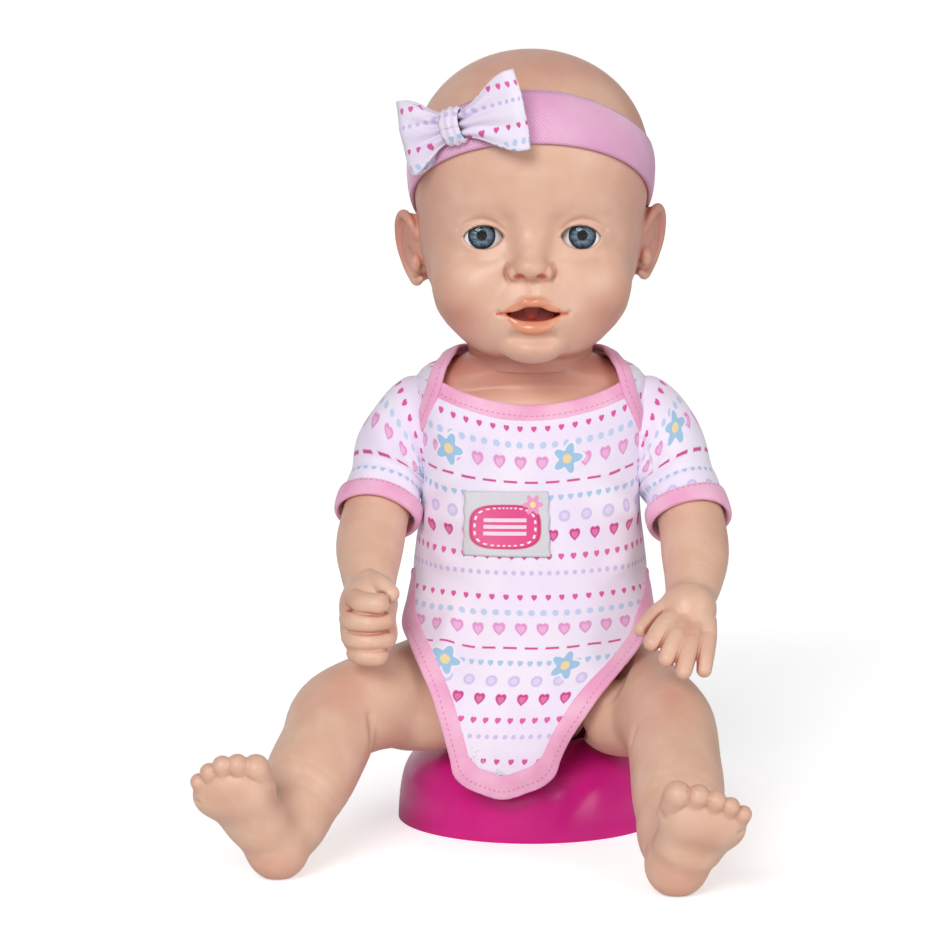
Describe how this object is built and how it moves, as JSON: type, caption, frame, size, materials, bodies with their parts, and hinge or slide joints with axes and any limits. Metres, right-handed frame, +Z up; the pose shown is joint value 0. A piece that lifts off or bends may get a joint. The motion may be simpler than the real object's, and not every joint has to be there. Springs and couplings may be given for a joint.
{
  "type": "interactive baby doll",
  "caption": "Seated drink-and-wet baby doll with turning head and limbs, tummy sound button, bodysuit, bow head band and potty.",
  "frame": {"origin": "centre of the potty's base, on the floor", "axes": "+Z up, the doll faces -Y, the doll's own right side is -X"},
  "size_m": [0.2062, 0.2217, 0.3083],
  "materials": {
    "skin_vinyl": "soft satin cast vinyl",
    "eye_white": "gloss",
    "iris_blue": "gloss",
    "cornea_clear": "clear gloss",
    "mouth_red": "satin",
    "hose_rubber": "soft",
    "band_pink": "ribbed elastic",
    "print_cloth": "printed cotton knit",
    "binding_pink": "ribbed binding",
    "label_satin": "woven satin",
    "hook_white": "napped",
    "potty_pink": "gloss",
    "joint_white": "satin",
    "tank_natural": "translucent",
    "steel": "zinc plated",
    "board_green": "solder mask",
    "speaker_black": "matte",
    "housing_grey": "matte",
    "cell_jacket": "gloss",
    "button_pink": "satin"
  },
  "bodies": {
    "potty": {"potty": "potty_pink"},
    "torso": {"torso_front": "skin_vinyl", "torso_rear": "skin_vinyl", "neck_post": "joint_white", "casing_screws": "steel", "water_tank": "tank_natural", "drain_tube": "hose_rubber", "button_spring": "steel", "circuit_board": "board_green", "speaker": "speaker_black", "battery_box": "housing_grey", "battery_cells": "cell_jacket", "battery_door": "skin_vinyl", "door_screw": "steel", "bodysuit_front": "print_cloth", "bodysuit_back": "print_cloth", "crotch_flap": "print_cloth", "flap_fastener": "hook_white", "neck_binding": "binding_pink", "chest_label": "label_satin"},
    "head": {"head_shell": "skin_vinyl", "eyeball_right": "eye_white", "eyeball_left": "eye_white", "iris_right": "iris_blue", "iris_left": "iris_blue", "cornea_right": "cornea_clear", "cornea_left": "cornea_clear", "mouth_funnel": "mouth_red", "throat_tube": "hose_rubber", "head_band": "band_pink", "bow_wings": "print_cloth", "bow_knot": "print_cloth"},
    "arm_right": {"arm_right": "skin_vinyl", "shoulder_joint_right": "joint_white", "sleeve_right": "print_cloth", "cuff_right": "binding_pink"},
    "arm_left": {"arm_left": "skin_vinyl", "shoulder_joint_left": "joint_white", "sleeve_left": "print_cloth", "cuff_left": "binding_pink"},
    "leg_right": {"leg_right": "skin_vinyl", "hip_joint_right": "joint_white"},
    "leg_left": {"leg_left": "skin_vinyl", "hip_joint_left": "joint_white"},
    "button": {"tummy_button": "button_pink"},
    "switch": {"power_switch": "speaker_black"}
  },
  "joints": [
    {"name": "lift_off_potty", "type": "slide", "parent": "potty", "child": "torso", "axis": [0, 0, 1], "range_m": [0, 0.12]},
    {"name": "neck_turn", "type": "hinge", "parent": "torso", "child": "head", "pos_m": [0, 0, 0.1875], "axis": [0, 0, 1], "range_deg": [-80, 80]},
    {"name": "shoulder_right", "type": "hinge", "parent": "torso", "child": "arm_right", "pos_m": [-0.0445, 0, 0.158], "axis": [-0.9945, 0, -0.1045], "range_deg": [0, 150]},
    {"name": "shoulder_left", "type": "hinge", "parent": "torso", "child": "arm_left", "pos_m": [0.0445, 0, 0.158], "axis": [-0.9945, 0, 0.1045], "range_deg": [0, 150]},
    {"name": "hip_right", "type": "hinge", "parent": "torso", "child": "leg_right", "pos_m": [-0.033, -0.008, 0.06], "axis": [-0.866, 0, -0.5], "range_deg": [0, 10]},
    {"name": "hip_left", "type": "hinge", "parent": "torso", "child": "leg_left", "pos_m": [0.033, -0.008, 0.06], "axis": [-0.866, 0, 0.5], "range_deg": [0, 7]},
    {"name": "button_press", "type": "slide", "parent": "torso", "child": "button", "axis": [0, 1, 0], "range_m": [0, 0.002], "stiffness_N_per_m": 300, "springref_m": -0.001, "deforming": ["button_spring"]},
    {"name": "switch_slide", "type": "slide", "parent": "torso", "child": "switch", "axis": [0, 0, 1], "range_m": [0, 0.004]}
  ]
}
